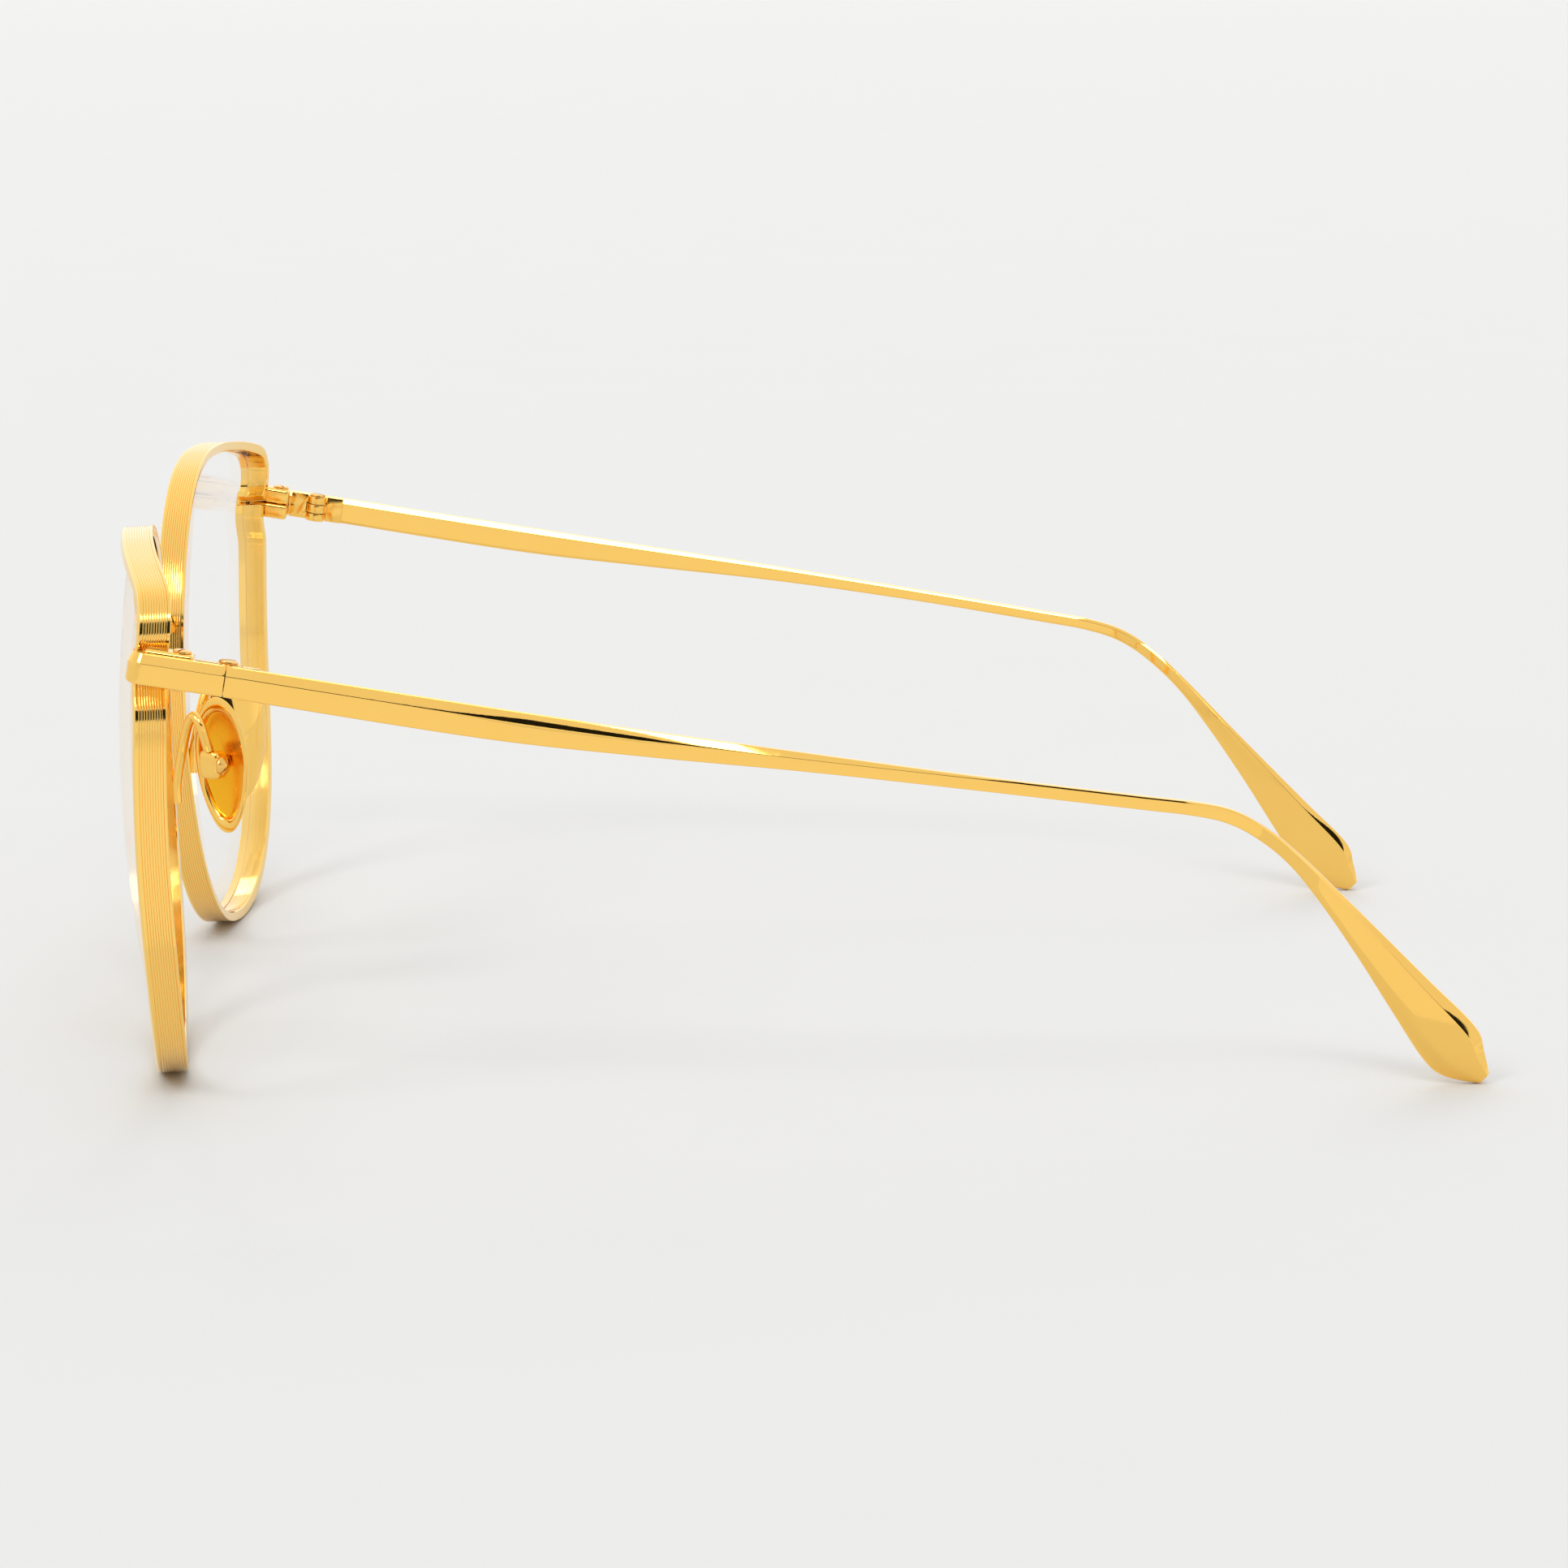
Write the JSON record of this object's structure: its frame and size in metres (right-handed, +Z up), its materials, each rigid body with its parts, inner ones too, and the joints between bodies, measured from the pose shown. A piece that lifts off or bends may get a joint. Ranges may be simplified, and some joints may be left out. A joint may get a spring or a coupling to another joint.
{
  "type": "cat-eye spectacles",
  "caption": "Full-rim cat-eye spectacles in polished gold metal with clear lenses, folding temples with flat kite-shaped tips and rocking nose pads.",
  "frame": {"origin": "on the table below the middle of the open spectacles: the centre of the bounding box's base", "axes": "+X is the wearer's left, -Y is the way the lenses face, +Y is along the temples to their tips, +Z is up; the rims and temple tips stand on Z = 0"},
  "size_m": [0.1372, 0.1426, 0.0565],
  "materials": {
    "frame_gold": "polished yellow gold plating",
    "hinge_gold": "slightly softer yellow gold plating",
    "screw_gold": "darker gold screw heads",
    "pad_gold": "warm gold dish",
    "lens": "clear with an anti-reflection coating"
  },
  "bodies": {
    "front": {"bridge": "frame_gold", "rim_left": "frame_gold", "lens_left": "lens", "endpiece_left": "frame_gold", "closing_block_upper_left": "hinge_gold", "closing_block_lower_left": "hinge_gold", "rim_lock_screw_left": "screw_gold", "front_hinge_leaf_left": "hinge_gold", "hinge_screw_left": "screw_gold", "pad_arm_left": "frame_gold", "pad_box_left": "hinge_gold", "pad_screw_left": "screw_gold", "rim_right": "frame_gold", "lens_right": "lens", "endpiece_right": "frame_gold", "closing_block_upper_right": "hinge_gold", "closing_block_lower_right": "hinge_gold", "rim_lock_screw_right": "screw_gold", "front_hinge_leaf_right": "hinge_gold", "hinge_screw_right": "screw_gold", "pad_arm_right": "frame_gold", "pad_box_right": "hinge_gold", "pad_screw_right": "screw_gold"},
    "left_temple": {"temple_left": "frame_gold", "temple_hinge_leaf_left": "hinge_gold"},
    "left_pad": {"nose_pad_left": "pad_gold", "pad_post_left": "hinge_gold"},
    "right_temple": {"temple_right": "frame_gold", "temple_hinge_leaf_right": "hinge_gold"},
    "right_pad": {"nose_pad_right": "pad_gold", "pad_post_right": "hinge_gold"}
  },
  "joints": [
    {"name": "left_temple_fold", "type": "hinge", "parent": "front", "child": "left_temple", "pos_m": [0.06595, -0.0569, 0.0456], "axis": [0, 0.1556, 0.9878], "range_deg": [0, 82]},
    {"name": "right_temple_fold", "type": "hinge", "parent": "front", "child": "right_temple", "pos_m": [-0.06595, -0.0569, 0.0456], "axis": [0, -0.1556, -0.9878], "range_deg": [0, 72]},
    {"name": "left_pad_rock", "type": "hinge", "parent": "front", "child": "left_pad", "pos_m": [0.0117, -0.0633, 0.0273], "axis": [0.6018, 0.7986, 0], "range_deg": [-8, 8]},
    {"name": "right_pad_rock", "type": "hinge", "parent": "front", "child": "right_pad", "pos_m": [-0.0117, -0.0633, 0.0273], "axis": [0.6018, -0.7986, 0], "range_deg": [-8, 8]}
  ]
}
